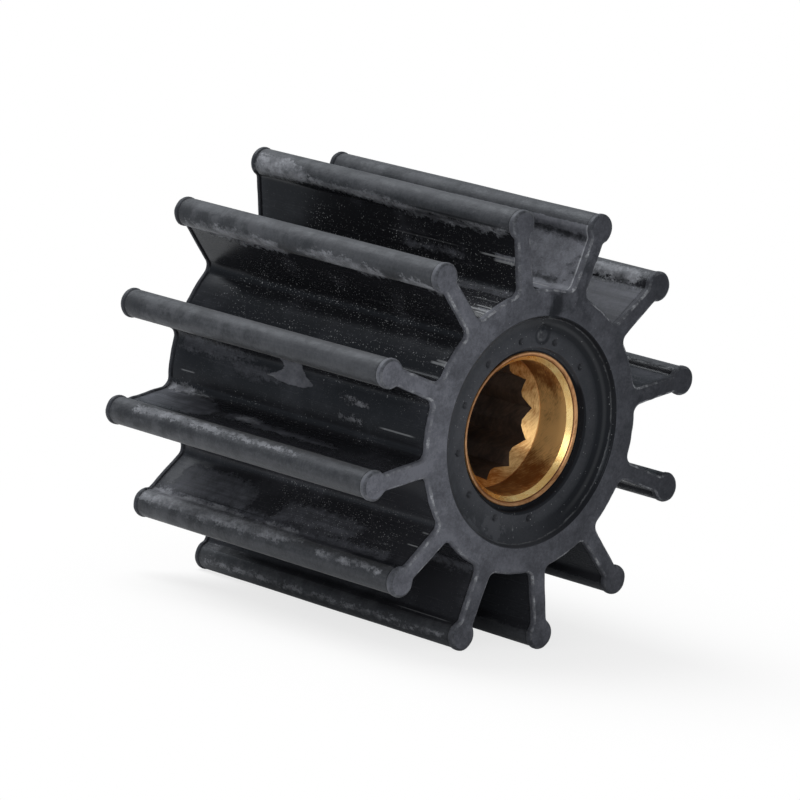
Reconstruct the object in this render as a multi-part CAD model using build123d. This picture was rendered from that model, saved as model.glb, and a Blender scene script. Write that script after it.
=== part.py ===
from build123d import *
import math
import os

# Flexible pump impeller: a moulded rubber wheel of straight vanes with a bonded
# metal insert that takes a twelve-point shaft.
# Millimetres, +Z up. The spin axis is Y and the front end, where the insert opens
# in a counterbore, looks to -Y. The origin is on the axis, halfway along the wheel.
# The wheel lies on two neighbouring vane tips.

# Shaft bore of the insert
point_diameter = 15.7
hexagon_count = 2
crest_trim = 0.1
counterbore_step = 0.6
counterbore_depth = 5.6
lead_in_angle = 40
mouth_chamfer = 0.85
rear_chamfer = 0.6
chamfer_angle = 45

# Insert body
insert_wall = 1.35
insert_edge = 0.15
key_groove_count = 3
key_groove_width = 3.0
key_groove_depth = 0.5
key_groove_pitch = 12.0

# Rubber hub
body_length = 48.4
hub_wall = 8.1
rim_width = 3.35
recess_depth = 1.4
recess_lip_depth = 0.65
recess_lip_run = 0.35
recess_sweep = 2.1
insert_setback = 0.5
nose_gap = 0.6
nose_gap_depth = 0.3

# Marks that the mould leaves in the front end
pin_offset = 1.7
pin_diameter = 0.8
pin_depth = 0.5
gate_angle = 87
gate_offset = 2.3
gate_diameter = 2.5
gate_depth = 0.15
channel_radius = 1.4
channel_depth = 0.5

# Vanes
vane_count = 12
tip_diameter = 57.15
web_root_width = 2.2
web_tip_width = 1.9
bead_diameter = 3.6
root_fillet = 1.2
neck_fillet = 0.7

# Raised land that runs round the whole outline at each end
land_length = 0.8
land_rise = 0.15

# Turn of the shaft bore against the vanes, in degrees
bore_turn = -3.7

# Length that a cutting shape runs past the face it opens
overrun = 1.0

# How a cylinder or cone sits on its position
hang_down = (Align.CENTER, Align.CENTER, Align.MAX)
stand_up = (Align.CENTER, Align.CENTER, Align.MIN)

# Derived sizes
vane_pitch = 360 / vane_count
rest_turn = 90 + vane_pitch / 2
point_radius = point_diameter / 2
point_pitch = 60 / hexagon_count
crest_radius = point_radius * math.cos(math.radians(30)) / math.cos(math.radians(point_pitch / 2))
pilot_radius = crest_radius + crest_trim
counterbore_radius = point_radius + counterbore_step
insert_radius = counterbore_radius + insert_wall
hub_radius = insert_radius + hub_wall
recess_radius = hub_radius - rim_width
floor_radius = recess_radius - recess_lip_run - recess_sweep
front_face = body_length / 2
front_floor = front_face - recess_depth
front_mouth = front_floor - insert_setback
insert_length = 2 * front_mouth
bead_radius = bead_diameter / 2
bead_centre = tip_diameter / 2 - land_rise - bead_radius


def spline_section():
    # Hexagons turned evenly give the points, and the pilot drill blunts the crests.
    section = Circle(pilot_radius)
    for index in range(hexagon_count):
        section += RegularPolygon(point_radius, 6, rotation=index * point_pitch)
    return section


def cone_mouth(face, wide_radius, narrow_radius, half_angle):
    # Conical opening that narrows downwards from the plane z = face.
    depth = (wide_radius - narrow_radius) / math.tan(math.radians(half_angle))
    return Pos(0, 0, face) * Cone(narrow_radius, wide_radius, depth, align=hang_down)


def insert_envelope():
    # Outside of the insert: a turned sleeve with ring grooves that the rubber grips.
    sleeve = Cylinder(insert_radius, insert_length)
    sleeve = chamfer(sleeve.edges().filter_by(GeomType.CIRCLE), insert_edge)
    groove = Cylinder(insert_radius + overrun, key_groove_width)
    groove -= Cylinder(insert_radius - key_groove_depth, key_groove_width)
    first = -key_groove_pitch * (key_groove_count - 1) / 2
    for index in range(key_groove_count):
        sleeve -= Pos(0, 0, first + index * key_groove_pitch) * groove
    return sleeve


def make_insert():
    body = insert_envelope()
    bore = extrude(spline_section(), front_mouth + overrun, both=True)
    body -= Rot(0, 0, bore_turn) * bore
    step_plane = front_mouth - counterbore_depth
    counterbore = Cylinder(counterbore_radius, counterbore_depth + overrun, align=stand_up)
    body -= Pos(0, 0, step_plane) * counterbore
    body -= cone_mouth(step_plane, counterbore_radius, pilot_radius, lead_in_angle)
    body -= cone_mouth(front_mouth, counterbore_radius + mouth_chamfer, counterbore_radius, chamfer_angle)
    body -= Rot(180, 0, 0) * cone_mouth(front_mouth, point_radius + rear_chamfer, pilot_radius, chamfer_angle)
    return body


def reach(corner):
    # Distance of a corner from the axis.
    return math.hypot(corner.X, corner.Y)


def wheel_section(rise):
    # Hub, webs and beads in one outline, with every inner corner rounded. The whole
    # outline stands out by rise from the plain section.
    web_start = hub_radius - root_fillet
    web = Polygon(
        (web_start, -web_root_width / 2 - rise),
        (bead_centre, -web_tip_width / 2 - rise),
        (bead_centre, web_tip_width / 2 + rise),
        (web_start, web_root_width / 2 + rise),
        align=None,
    )
    vane = web + Pos(bead_centre, 0) * Circle(bead_radius + rise)
    section = Circle(hub_radius + rise) + PolarLocations(0, vane_count) * vane
    middle = (hub_radius + bead_centre) / 2
    roots = [corner for corner in section.vertices() if reach(corner) < middle]
    section = fillet(roots, root_fillet - rise)
    necks = [corner for corner in section.vertices() if middle < reach(corner) < bead_centre]
    return fillet(necks, neck_fillet - rise)


def recess_cutter():
    # Shallow dish in an end face: a steep lip, a swept shoulder and a flat floor.
    rim = (recess_radius, 0)
    lip = (recess_radius - recess_lip_run, -recess_lip_depth)
    floor = (floor_radius, -recess_depth)
    sweep = TangentArc(floor, lip, tangent=(1, 0))
    outline = Polyline(lip, rim, (recess_radius, overrun), (0, overrun), (0, -recess_depth), floor)
    profile = make_face(Plane.XZ * (outline + sweep))
    dish = revolve(profile, Axis.Z)
    well_depth = recess_depth + insert_setback + nose_gap_depth
    well = Cylinder(insert_radius + nose_gap, well_depth, align=hang_down)
    return Pos(0, 0, front_face) * (dish + well)


def mould_marks():
    # Locating-pin holes in line with the vanes, the gate scar and the channel beside it.
    pin = Pos(insert_radius + pin_offset, 0, front_floor) * Cylinder(pin_diameter / 2, 2 * pin_depth)
    marks = PolarLocations(0, vane_count) * pin
    scar = Pos(insert_radius + gate_offset, 0, front_floor) * Cylinder(gate_diameter / 2, 2 * gate_depth)
    channel = Cylinder(channel_radius, rim_width + 2 * overrun)
    channel_centre = recess_radius + rim_width / 2
    channel = Pos(channel_centre, 0, front_face + channel_radius - channel_depth) * Rot(0, 90, 0) * channel
    return marks, Rot(0, 0, gate_angle - rest_turn) * (scar + channel)


def make_wheel():
    plain_length = body_length - 2 * land_length
    wheel = extrude(wheel_section(0), plain_length / 2, both=True)
    land = extrude(wheel_section(land_rise), land_length)
    wheel += Pos(0, 0, plain_length / 2) * land
    wheel += Pos(0, 0, -front_face) * land
    wheel -= insert_envelope()
    wheel -= recess_cutter()
    wheel -= Rot(180, 0, 0) * recess_cutter()
    pins, gate = mould_marks()
    wheel -= pins
    wheel -= gate
    return wheel


def place(piece):
    # The first vane is half a pitch past the top, so that two tips are lowest.
    return Rot(90, 0, 0) * Rot(0, 0, rest_turn) * piece


os.makedirs("parts", exist_ok=True)
export_step(place(make_wheel()), "parts/rubber_impeller.step")
export_step(place(make_insert()), "parts/brass_insert.step")
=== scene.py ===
import itertools
import math
import bmesh
import bpy
import numpy as np
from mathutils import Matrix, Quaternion, Vector


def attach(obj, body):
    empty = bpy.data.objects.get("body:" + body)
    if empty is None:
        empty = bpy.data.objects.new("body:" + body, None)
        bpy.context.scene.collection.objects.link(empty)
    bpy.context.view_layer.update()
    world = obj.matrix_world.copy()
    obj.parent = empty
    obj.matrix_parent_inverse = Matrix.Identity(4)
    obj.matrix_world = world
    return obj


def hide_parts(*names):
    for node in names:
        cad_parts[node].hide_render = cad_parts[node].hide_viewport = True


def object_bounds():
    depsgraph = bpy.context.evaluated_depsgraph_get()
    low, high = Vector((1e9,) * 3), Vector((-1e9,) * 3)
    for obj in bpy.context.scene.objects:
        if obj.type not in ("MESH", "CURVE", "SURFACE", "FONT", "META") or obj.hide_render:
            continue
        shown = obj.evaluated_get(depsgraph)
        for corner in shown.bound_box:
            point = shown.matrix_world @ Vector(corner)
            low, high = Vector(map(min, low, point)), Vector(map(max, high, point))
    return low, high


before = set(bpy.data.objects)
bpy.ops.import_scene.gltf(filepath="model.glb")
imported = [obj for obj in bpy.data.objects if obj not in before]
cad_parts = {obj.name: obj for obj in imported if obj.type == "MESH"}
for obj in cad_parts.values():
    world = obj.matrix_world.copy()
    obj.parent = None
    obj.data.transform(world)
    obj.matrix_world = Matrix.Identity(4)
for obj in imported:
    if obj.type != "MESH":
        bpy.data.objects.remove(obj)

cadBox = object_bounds()
mm = 0.001  # shapes are worked out in millimetres and put into the meshes in metres
cadLow, cadHigh = np.array(cadBox[0]) / mm, np.array(cadBox[1]) / mm

# The axis is Y and the front end looks to -Y. Angles run from +X towards +Z.
wheel = {
    "vanes": 12,
    "firstVane": 105.0,
    "halfLength": cadHigh[1],
    "hubRadius": 17.9,
    "beadCentre": 26.625,
    "beadRadius": 1.8,
    "webFootHalf": 1.1,
    "webHeadHalf": 0.95,
    "neckFillet": 0.7,
    "rootFillet": 1.2,
    "landRise": 0.15,
    "landLength": 0.8,
    "landGroove": 0.04,
    "landSlope": [(0.6875, 1.0), (0.875, 0.92), (0.975, 0.62), (1.075, 0.2)],  # shares of length and rise
    "grooveSlope": [(1.17, 1.0), (1.32, 0.5), (1.6, 0.0)],  # shares of the land's length, of the groove
    "landFade": (1.7, 0.8),
    "frontRound": 0.32,
    "rearRound": 0.5,
    "rimEdge": 14.7,
    "capPull": 0.55,
    "capStep": 0.3,
    "capShares": (0, 0.04, 0.14, 0.38, 0.7, 1.0),
    "rimCrowding": (0.25, 2.6),
    "steps": {"bead": 12, "neck": 4, "web": 8, "root": 6, "hub": 10},
    "beadColumns": 10,
    "flankRows": 42,
    "sharpAngle": 50,
    "middleCrowding": 0.055,
    "swell": {"height": 0.035, "cell": 4.0, "along": 0.35, "mean": 0.4, "seed": 3},
    "landUneven": {"height": 0.06, "cell": 0.9, "along": 0.05, "mean": 0.6, "seed": 5},
    "sink": {"height": 0.03, "cell": 3.0, "along": 0, "mean": -1, "seed": 9},
    "sinkReach": (2.0, 0.5),
    "rearShift": 100.0,  # keeps the UV of the rear end apart from the front end's
}

# Dish in each end face, as radius and depth from the face.
dish = {
    "lip": [(14.7, 0.0), (14.62, 0.02), (14.56, 0.08), (14.53, 0.16), (14.37, 0.4), (14.24, 0.6),
            (14.17, 0.66)],
    "sweepStart": 14.1,
    "sweepRows": 10,
    "floorStart": 12.1,
    "floorDepth": 1.4,
    "floorReach": (12.0, 10.57),
    "floorRows": {"front": 15, "rear": 4},
    "well": [(10.45, 1.42), (10.38, 1.52), (10.38, 2.1), (10.3, 2.2)],
    "wellDepth": 2.2,
    "pinCircle": 11.5,
    "pinRadius": 0.4,
    "pinDepth": 0.5,
    "pinEdge": (0.12, 0.06),
    "filledPins": (7, 8, 9),
    "filledShare": 0.15,
    "gateAngle": 87.0,
    "gateCircle": 12.1,
    "gateRadius": 1.25,
    "gateDepth": 0.15,
    "gateEdge": (0.15, 0.1),
    "gatePips": [(0.5, 0.42), (-0.45, 0.5)],
    "pipRise": 0.16,
    "channelRadius": 1.4,
    "channelDepth": 0.5,
}

insert = {
    "radius": 9.8,
    "setBack": 1.9,
    "lip": [(0.0, 0.14), (0.05, 0.05), (0.13, 0.0), (0.26, 0.02), (0.38, 0.09), (0.5, 0.22), (0.58, 0.36)],
    "lipPale": 5,
    "rearEdge": 0.12,
    "grooveCentres": (-12.0, 0.0, 12.0),
    "grooveHalf": 1.5,
    "grooveRadius": 9.3,
    "bevelRadius": 9.2,
    "bevelEnd": 8.62,
    "bevelDepth": 0.94,
    "taperDepth": 1.7,
    "counterboreRadius": 8.45,
    "counterboreDepth": 5.6,
    "reliefDepth": 0.1,
    "reliefLength": 0.22,
    "leadInAngle": 40.0,
    "pilotRadius": 7.138,
    "pointRadius": 7.85,
    "pointAngle": 11.3,
    "points": 12,
    "steps": {"side": 8, "crest": 4, "bevel": 5, "wall": 10, "cone": 6, "bore": 12, "rear": 4},
    "sharpAngle": 22,
}


def valueNoise(points, cell, seed):
    # Smooth noise of place: random numbers on a cubic lattice of the given cell, blended
    # between the eight corners of the cell by 3t^2 - 2t^3. Values run from -1 to 1.
    place = points / cell + 512.0
    base = np.floor(place).astype(np.int64)
    part = place - base
    part = part * part * (3 - 2 * part)
    total = np.zeros(points.shape[:-1])
    for corner in itertools.product((0, 1), repeat=3):
        spot = base + np.array(corner)
        mixed = spot[..., 0] * 73856093 ^ spot[..., 1] * 19349663 ^ spot[..., 2] * 83492791
        mixed = mixed ^ seed * 2654435761  # large primes scramble the whole numbers
        mixed = (mixed ^ (mixed >> 13)) * 1274126177 & 0xFFFFFFFF
        value = ((mixed >> 8) & 0xFFFF) / 32767.5 - 1
        weight = np.prod(np.where(np.array(corner) == 1, part, 1 - part), axis=-1)
        total += weight * value
    return total


def unevenness(points, spec):
    # Height times noise less its mean, with the cells drawn out along Y.
    noise = valueNoise(points * [1, spec["along"], 1], spec["cell"], spec["seed"])
    return spec["height"] * (noise - spec["mean"])


def around(reach, angle, y):
    # Points at a reach from the axis and an angle round it, x = reach cos, z = reach sin.
    return np.stack(np.broadcast_arrays(reach * np.cos(angle), y, reach * np.sin(angle)), axis=-1)


def smoothStep(low, high, value):
    # 3t^2 - 2t^3, where t runs from 0 at low to 1 at high.
    t = np.clip((value - low) / (high - low), 0, 1)
    return t * t * (3 - 2 * t)


def arcSamples(centre, radius, start, end, steps, facing):
    # Points on an arc without its last one, with the outward direction at each.
    turn = np.linspace(start, end, steps, endpoint=False)
    spoke = np.stack([np.cos(turn), np.sin(turn)], axis=1)
    return centre + radius * spoke, facing * spoke


def halfVane(w):
    # Half of one vane from its tip to the middle of the valley, as a chain of tangent
    # pieces: bead arc, neck fillet, straight web, root fillet, hub arc.
    steps = w["steps"]
    bead = np.array([w["beadCentre"], 0.0])
    foot = np.array([w["hubRadius"] - w["rootFillet"], w["webFootHalf"]])
    head = np.array([w["beadCentre"], w["webHeadHalf"]])
    along = (head - foot) / np.linalg.norm(head - foot)
    across = np.array([-along[1], along[0]])

    def filletCentre(radius, middle, reach, side):
        # The point at radius from the web line and at reach from middle.
        start = foot + across * radius - middle
        lean = start @ along
        return middle + start + along * (side * math.sqrt(lean**2 - start @ start + reach**2) - lean)

    def angleOf(vector):
        return math.atan2(vector[1], vector[0])

    neck = filletCentre(w["neckFillet"], bead, w["beadRadius"] + w["neckFillet"], -1)
    root = filletCentre(w["rootFillet"], np.zeros(2), w["hubRadius"] + w["rootFillet"], 1)
    beadEnd = angleOf(neck - bead)
    sideways = angleOf(-across)
    rootEnd = angleOf(-root)
    webStart = neck - across * w["neckFillet"]
    webEnd = root - across * w["rootFillet"]
    share = np.linspace(0, 1, steps["web"], endpoint=False)[:, None]
    pieces = [
        arcSamples(bead, w["beadRadius"], 0, beadEnd, steps["bead"], 1),
        arcSamples(neck, w["neckFillet"], beadEnd - math.pi, sideways, steps["neck"], -1),
        (webStart + share * (webEnd - webStart), np.repeat(across[None], steps["web"], axis=0)),
        arcSamples(root, w["rootFillet"], sideways, rootEnd, steps["root"], -1),
        arcSamples(np.zeros(2), w["hubRadius"], angleOf(root), math.pi / w["vanes"], steps["hub"], 1),
    ]
    middle = np.array([[math.cos(math.pi / w["vanes"]), math.sin(math.pi / w["vanes"])]])
    points = np.concatenate([piece[0] for piece in pieces] + [w["hubRadius"] * middle])
    normals = np.concatenate([piece[1] for piece in pieces] + [middle])
    return points, normals


halfPoints, halfFacing = halfVane(wheel)
fromTip = np.concatenate([[0], np.cumsum(np.linalg.norm(np.diff(halfPoints, axis=0), axis=1))])
pitchLength = 2 * fromTip[-1]  # along the skin, from one tip to the next


def capTargets(w, points):
    # Where each column of an end face ends: on the vane's middle line down to the rim of
    # the dish, then round that rim. The columns of root and hub share out the rim.
    steps = w["steps"]
    beadCount = steps["bead"] + steps["neck"]
    webEnd = beadCount + steps["web"]
    targets = np.zeros_like(points)
    targets[:beadCount, 0] = w["beadCentre"] + w["capPull"] * (points[:beadCount, 0] - w["beadCentre"])
    webTop = targets[beadCount - 1, 0] - w["capStep"]
    targets[beadCount:webEnd + 1, 0] = np.linspace(webTop, w["rimEdge"], steps["web"] + 1)
    return targets, webEnd


def rimAngles(w, crowded):
    # Angles of the rim columns from a vane's middle line to the valley, in radians. They
    # crowd near the vane, where a pin hole lies, by a power of their share, or are even.
    count = w["steps"]["root"] + w["steps"]["hub"]
    share = np.linspace(0, 1, count + 1)
    if crowded:
        even, power = w["rimCrowding"]
        share = even * share + (1 - even) * share**power
    return share * math.pi / w["vanes"]


def endDepthProfile(w, roundRadius):
    # Rows from the end face to the plain flank: quarter-round edge, land, groove behind it.
    rise, length = w["landRise"], w["landLength"]
    rows = []
    for turn in np.radians([0, 25, 50, 75, 90]):
        rows.append((roundRadius * (1 - math.cos(turn)), rise - roundRadius * (1 - math.sin(turn))))
    rows += [(depth * length, share * rise) for depth, share in w["landSlope"]]
    rows += [(depth * length, -share * w["landGroove"]) for depth, share in w["grooveSlope"]]
    return rows


def flankSpacing(w):
    # Shares of the length from 0 to 1 without the ends, closer together in the middle.
    share = np.linspace(0, 1, w["flankRows"])[1:-1]
    return share + w["middleCrowding"] * np.sin(2 * math.pi * share)


def channelFloor(x, z):
    # Depth of the round-bottomed channel that runs outwards from the dish at the gate's angle.
    gate = math.radians(dish["gateAngle"])
    outwards = x * math.cos(gate) + z * math.sin(gate)
    sideways = -x * math.sin(gate) + z * math.cos(gate)
    below = np.sqrt(np.clip(dish["channelRadius"]**2 - sideways**2, 0, None))
    depth = below - dish["channelRadius"] + dish["channelDepth"]
    return np.where(outwards > dish["gateCircle"], np.clip(depth, 0, None), 0)


def dishProfile(end):
    # Lip, round sweep tangent to the floor, floor, wall and bottom of the well.
    rise = dish["floorDepth"] - dish["lip"][-1][1]
    run = dish["lip"][-1][0] - dish["floorStart"]
    radius = (rise**2 + run**2) / (2 * rise)
    rows = list(dish["lip"])
    for reach in np.linspace(dish["sweepStart"], dish["floorStart"], dish["sweepRows"]):
        drop = radius - math.sqrt(radius**2 - (reach - dish["floorStart"])**2)
        rows.append((reach, dish["floorDepth"] - drop))
    for reach in np.linspace(*dish["floorReach"], dish["floorRows"][end]):
        rows.append((reach, dish["floorDepth"]))
    return np.array(rows + dish["well"] + [(insert["radius"], dish["wellDepth"])])


def edgeAt(radius, edge, away):
    # 1 inside a round form and 0 outside it, with an edge that starts inside the radius.
    return 1 - smoothStep(radius - edge[0], radius + edge[1], away)


def frontDepth(reach, angle, depth):
    # The front dish with its pin holes and its gate scar, which has two pips in it.
    x, z = reach * np.cos(angle), reach * np.sin(angle)
    for index in range(wheel["vanes"]):
        turn = math.radians(wheel["firstVane"]) + index * 2 * math.pi / wheel["vanes"]
        away = np.hypot(x - dish["pinCircle"] * math.cos(turn), z - dish["pinCircle"] * math.sin(turn))
        pinDepth = dish["pinDepth"] * (dish["filledShare"] if index in dish["filledPins"] else 1.0)
        depth = depth + pinDepth * edgeAt(dish["pinRadius"], dish["pinEdge"], away)
    gate = math.radians(dish["gateAngle"])
    middle = dish["gateCircle"] * np.array([math.cos(gate), math.sin(gate)])
    away = np.hypot(x - middle[0], z - middle[1])
    inside = edgeAt(dish["gateRadius"], dish["gateEdge"], away)
    scar = dish["floorDepth"] + dish["gateDepth"]
    depth = depth + inside * np.clip(scar - depth, 0, None)
    for side, size in dish["gatePips"]:
        spot = middle * (1 + side / dish["gateCircle"])
        away = np.hypot(x - spot[0], z - spot[1])
        depth = depth - dish["pipRise"] * (1 - smoothStep(0, size, away))
    return depth


def gridQuads(rows, columns, first):
    # Faces of a grid of points, row by row.
    ids = first + np.arange(rows * columns).reshape(rows, columns)
    corners = [ids[:-1, :-1], ids[:-1, 1:], ids[1:, 1:], ids[1:, :-1]]
    return np.stack(corners, axis=-1).reshape(-1, 4)


def meshFromPatches(name, patches, materials, sharpAngle):
    # Each patch is a grid of points, a grid of UV pairs and a material number, or one for
    # each row or column. Patches that share an edge are welded, and faces turned outwards.
    points, pairs, quads, kinds, first = [], [], [], [], 0
    for grid, uv, kind in patches:
        rows, columns = grid.shape[:2]
        faces = gridQuads(rows, columns, first)
        points.append(grid.reshape(-1, 3))
        pairs.append(uv.reshape(-1, 2))
        quads.append(faces)
        kinds.append(np.broadcast_to(kind, (rows - 1, columns - 1)).ravel())
        first += rows * columns
    points, pairs, quads = np.concatenate(points), np.concatenate(pairs), np.concatenate(quads)
    mesh = bpy.data.meshes.new(name)
    mesh.from_pydata((points * mm).tolist(), [], quads.tolist())
    mesh.polygons.foreach_set("material_index", np.concatenate(kinds).astype(np.int32))
    layer = mesh.uv_layers.new(name="skin")
    layer.data.foreach_set("uv", pairs[quads.ravel()].ravel())
    for material in materials:
        mesh.materials.append(material)
    work = bmesh.new()
    work.from_mesh(mesh)
    bmesh.ops.remove_doubles(work, verts=work.verts, dist=0.0005 * mm)
    bmesh.ops.dissolve_degenerate(work, edges=work.edges, dist=0.0001 * mm)
    bmesh.ops.recalc_face_normals(work, faces=work.faces)
    work.to_mesh(mesh)
    openEdges = sum(1 for edge in work.edges if not edge.is_manifold)
    triangles = sum(len(face.verts) - 2 for face in work.faces)
    work.free()
    mesh.shade_smooth()
    mesh.set_sharp_from_angle(angle=math.radians(sharpAngle))
    piece = bpy.data.objects.new(name, mesh)
    bpy.context.scene.collection.objects.link(piece)
    print(name, "triangles", triangles, "open edges", openEdges)
    return piece


def wheelColumns(w):
    # Columns round the whole wheel, from the half vane, mirrored and turned to each place:
    # outline, outward direction, inner end of the caps, UV length, dish angle, bead or not.
    targets, webEnd = capTargets(w, halfPoints)
    count = len(halfPoints) - 1
    order = np.concatenate([np.arange(count, 0, -1), np.arange(count)])
    side = np.concatenate([-np.ones(count), np.ones(count)])
    flip = np.stack([np.ones_like(side), side], axis=1)
    isRim = order >= webEnd
    onDish = [np.flatnonzero((order > webEnd) & (side < 0)), np.flatnonzero(isRim & (side > 0))]
    onDish = np.concatenate(onDish)
    even, crowded = rimAngles(w, False), rimAngles(w, True)
    outline, facing, inner, lengths, turns = [], [], [], [], []
    for index in range(w["vanes"]):
        turn = math.radians(w["firstVane"]) + index * 2 * math.pi / w["vanes"]
        spin = np.array([[math.cos(turn), math.sin(turn)], [-math.sin(turn), math.cos(turn)]])
        angles = np.zeros(len(order))
        for sign, besideGate in ((-1, 0), (1, w["vanes"] - 1)):
            chosen = isRim & (side == sign)
            angles[chosen] = sign * (even if index == besideGate else crowded)[order[chosen] - webEnd]
        ends = targets[order] * flip
        ends[isRim] = w["rimEdge"] * np.stack([np.cos(angles[isRim]), np.sin(angles[isRim])], axis=1)
        outline.append((halfPoints[order] * flip) @ spin)
        facing.append((halfFacing[order] * flip) @ spin)
        inner.append(ends @ spin)
        lengths.append((index + 1) * pitchLength + fromTip[order] * side)
        turns.append((turn + angles)[onDish])
    outline, facing, inner = [np.concatenate(part + [part[0][:1]]) for part in (outline, facing, inner)]
    lengths, turns = np.concatenate(lengths), np.concatenate(turns)
    lengths = np.append(lengths, lengths[0] + w["vanes"] * pitchLength)
    turns = np.append(turns, turns[0] + 2 * math.pi)
    bead = np.tile(order <= w["beadColumns"], w["vanes"])
    return outline, facing, inner, lengths, turns, np.append(bead, bead[0])


def grooveRows():
    # Reach and height along the insert's ring grooves, from front to rear.
    rows = []
    for centre in insert["grooveCentres"]:
        for side, reach in ((-1, "radius"), (-1, "grooveRadius"), (1, "grooveRadius"), (1, "radius")):
            rows.append((insert[reach], centre + side * insert["grooveHalf"]))
    return rows


def makeWheel(materials):
    # The sides are the outline carried along Y, standing out by the land's profile and a
    # little unevenness. Caps run straight from there to the rim of the dish, and the dishes
    # and the bore are profiles turned round the axis.
    w = wheel
    half = w["halfLength"]
    outline, facing, inner, lengths, turns, bead = wheelColumns(w)
    front = np.array(endDepthProfile(w, w["frontRound"]))
    rear = np.array(endDepthProfile(w, w["rearRound"]))[::-1]
    flank = -half + front[-1, 0] + flankSpacing(w) * (2 * half - front[-1, 0] - rear[0, 0])
    rowY = np.concatenate([front[:, 0] - half, flank, half - rear[:, 0]])
    rowOut = np.concatenate([front[:, 1], np.zeros(len(flank)), rear[:, 1]])
    place = np.zeros((len(rowY), len(outline), 3))
    place[..., 0], place[..., 2] = outline[:, 0], outline[:, 1]
    place[..., 1] = rowY[:, None]
    fadeStart, fadeEnd = np.array(w["landFade"]) * w["landLength"]
    onLand = smoothStep(fadeStart, fadeEnd, half - np.abs(rowY))[:, None]
    out = rowOut[:, None] + unevenness(place, w["swell"]) * (1 - onLand)
    out = out + unevenness(place, w["landUneven"]) * onLand
    place[..., 0] += facing[:, 0] * out
    place[..., 2] += facing[:, 1] * out
    uvSide = np.stack(np.broadcast_arrays(lengths[None, :], place[..., 1]), axis=-1)

    def cap(ring, plane):
        edge = ring[:, [0, 2]]
        flat = edge + np.array(w["capShares"])[:, None, None] * (inner - edge)
        return np.stack([flat[..., 0], np.full(flat.shape[:2], plane), flat[..., 1]], axis=-1)

    frontCap, rearCap = cap(place[0], -half), cap(place[-1], half)
    profile = dishProfile("front")
    reach, angle = profile[:, :1], turns[None, :]
    frontDish = around(reach, angle, frontDepth(reach, angle, profile[:, 1:]) - half)
    profile = dishProfile("rear")
    rearDish = around(profile[:, :1], angle, half - profile[:, 1:])

    # The bore that is bonded to the insert, with the ridges that fill its ring grooves.
    wellY = half - dish["wellDepth"]
    boreRows = np.array([(insert["radius"], -wellY), *grooveRows(), (insert["radius"], wellY)])
    bore = around(boreRows[:, :1], turns, boreRows[:, 1:])

    # Faces sink a little here and there, and the channel cuts the land.
    for grid in (place, frontCap, rearCap, frontDish, rearDish):
        sink = unevenness(grid, w["sink"]) * smoothStep(*w["sinkReach"], half - np.abs(grid[..., 1]))
        grid[..., 1] -= np.sign(grid[..., 1]) * sink
    for grid in (place, frontCap, frontDish):
        grid[..., 1] = np.maximum(grid[..., 1], -half + channelFloor(grid[..., 0], grid[..., 2]))

    # Kinds of rubber: 0 skin, 1 end face, 2 dish and bore, 3 bead.
    sideKind = np.where(bead[:-1] & bead[1:], 3, 0)[None, :]
    patches = [(np.clip(place, cadLow, cadHigh), uvSide, sideKind)]
    for grid, kind in ((frontCap, 1), (rearCap, 1), (frontDish, 2), (rearDish, 2), (bore, 2)):
        grid = np.clip(grid, cadLow, cadHigh)
        patches.append((grid, grid[..., [0, 2]] + np.where(grid[..., 1:2] > 0, w["rearShift"], 0.0), kind))
    return meshFromPatches("impeller_rubber", patches, materials, w["sharpAngle"])


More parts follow.
